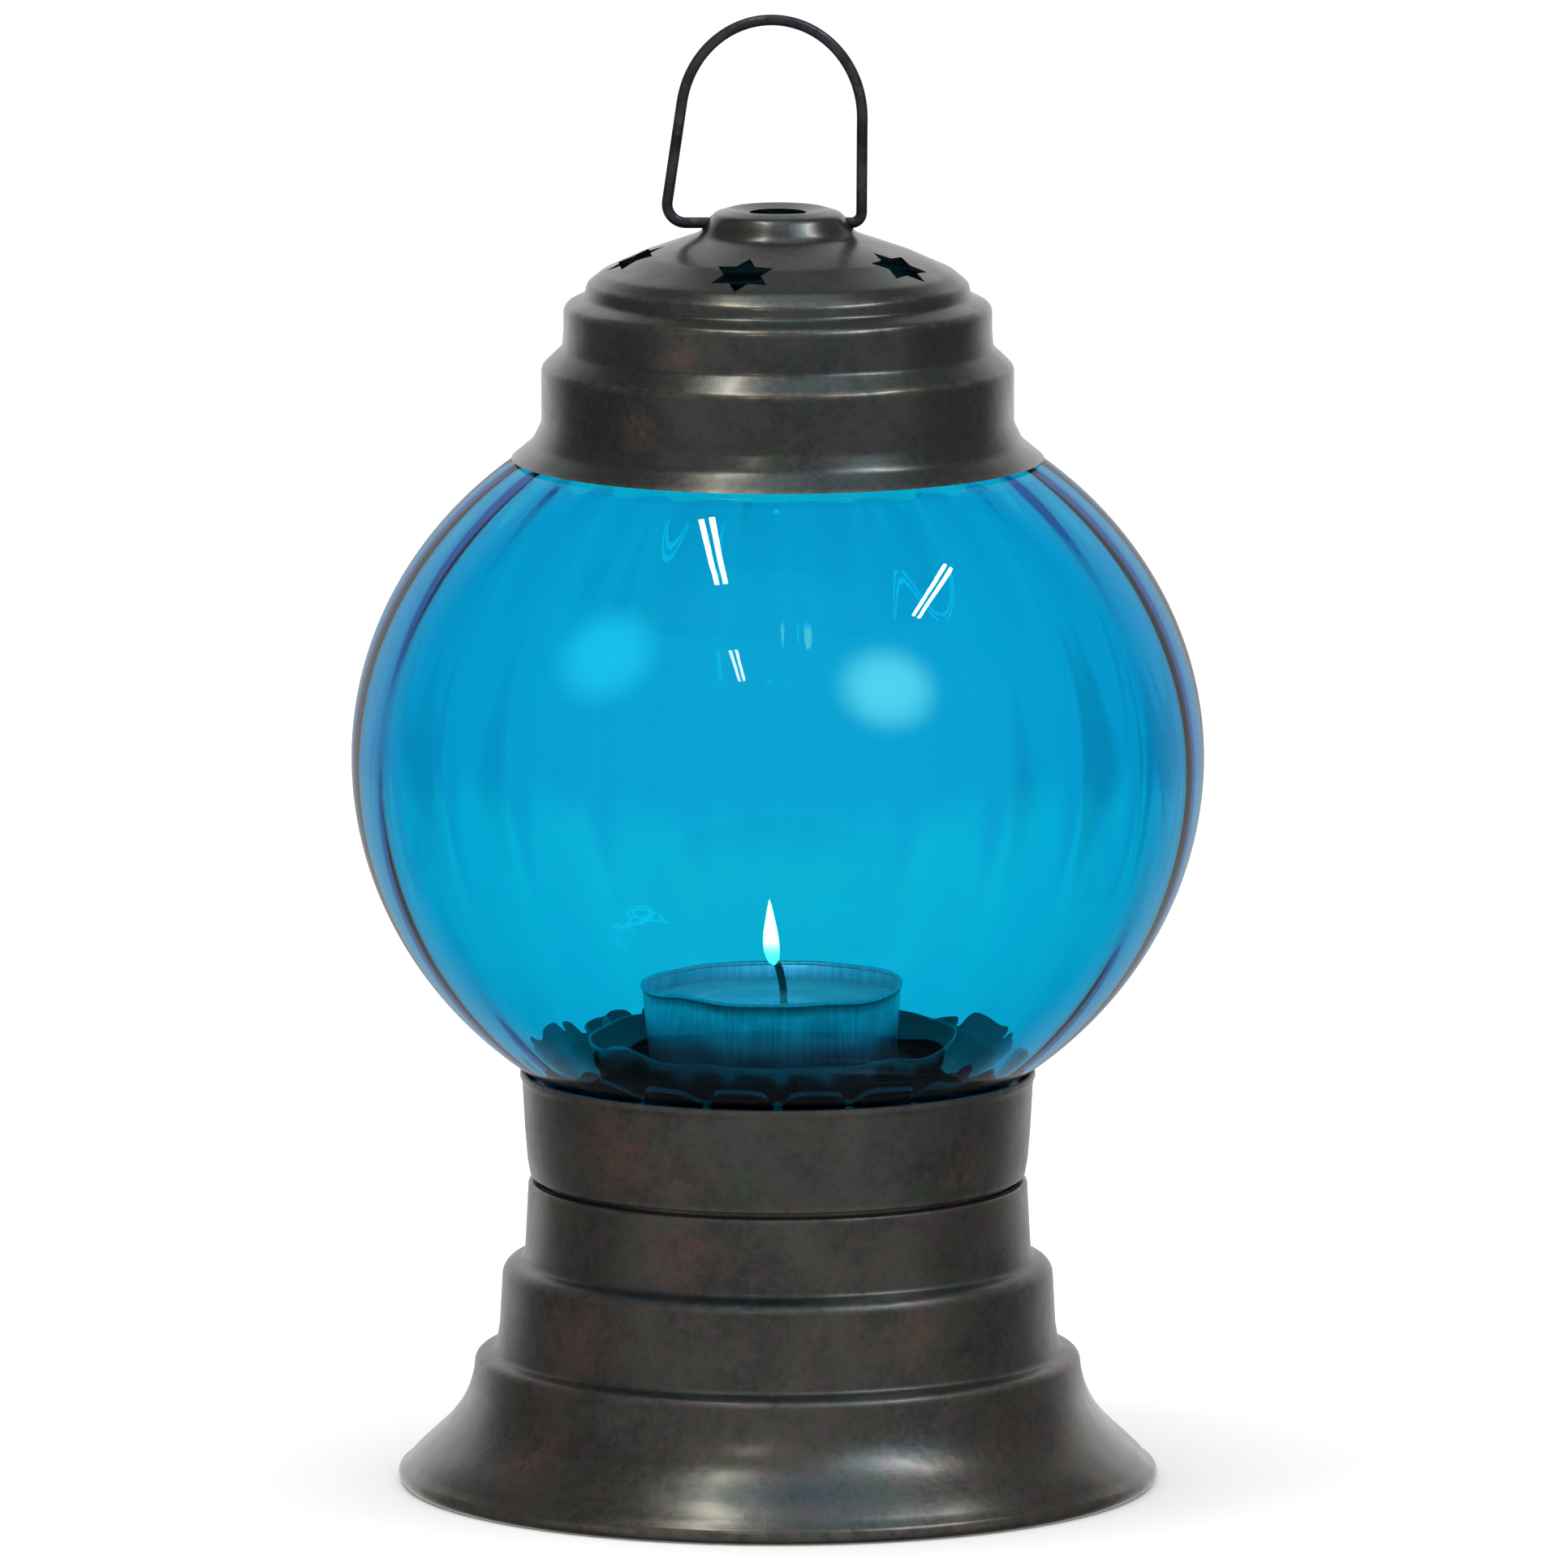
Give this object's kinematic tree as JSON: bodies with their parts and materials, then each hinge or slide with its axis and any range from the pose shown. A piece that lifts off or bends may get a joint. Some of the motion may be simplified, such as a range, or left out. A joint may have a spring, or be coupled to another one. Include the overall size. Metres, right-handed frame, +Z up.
{
  "type": "tealight lantern",
  "caption": "Tealight lantern: a blue optic-glass globe between a stepped metal base and a star-pierced metal cap, with a folding wire bail to carry or hang it.",
  "frame": {"origin": "on the lantern's axis, in the plane that the foot stands on", "axes": "+Z up along the axis of the lantern, -Y the front as pictured, +X to the right across the bail"},
  "size_m": [0.1236, 0.1236, 0.2145],
  "materials": {
    "antique_metal": "dark antique bronze lacquer over sheet steel, soft gloss, with reddish copper showing through in patches",
    "blue_glass": "clear turquoise-blue blown glass, smooth outside, with shallow upright ribs inside",
    "dark_wire": "dark blued steel wire, satin",
    "aluminium_foil": "bright drawn foil with fine draw lines",
    "wax": "off-white paraffin wax, soft and slightly translucent",
    "wick_cotton": "braided cotton, charred at the tip"
  },
  "bodies": {
    "base": {"base_pedestal": "antique_metal", "base_neck": "antique_metal", "candle_cup": "antique_metal", "candle_cup_rivet": "antique_metal"},
    "globe": {"collar": "antique_metal", "lower_claw_ring": "antique_metal", "glass_globe": "blue_glass", "upper_claw_ring": "antique_metal", "cap_shell": "antique_metal"},
    "bail": {"bail_handle": "dark_wire"},
    "tealight": {"tealight_can": "aluminium_foil", "tealight_wax": "wax", "wick_sustainer": "aluminium_foil", "wick": "wick_cotton"}
  },
  "joints": [
    {"name": "globe_lift", "type": "slide", "parent": "base", "child": "globe", "axis": [0, 0, 1], "range_m": [0, 0.06]},
    {"name": "bail_swing", "type": "hinge", "parent": "globe", "child": "bail", "pos_m": [0, 0, 0.1842], "axis": [1, 0, 0], "range_deg": [-100, 100]},
    {"name": "tealight_lift", "type": "slide", "parent": "base", "child": "tealight", "axis": [0, 0, 1], "range_m": [0, 0.03]}
  ]
}
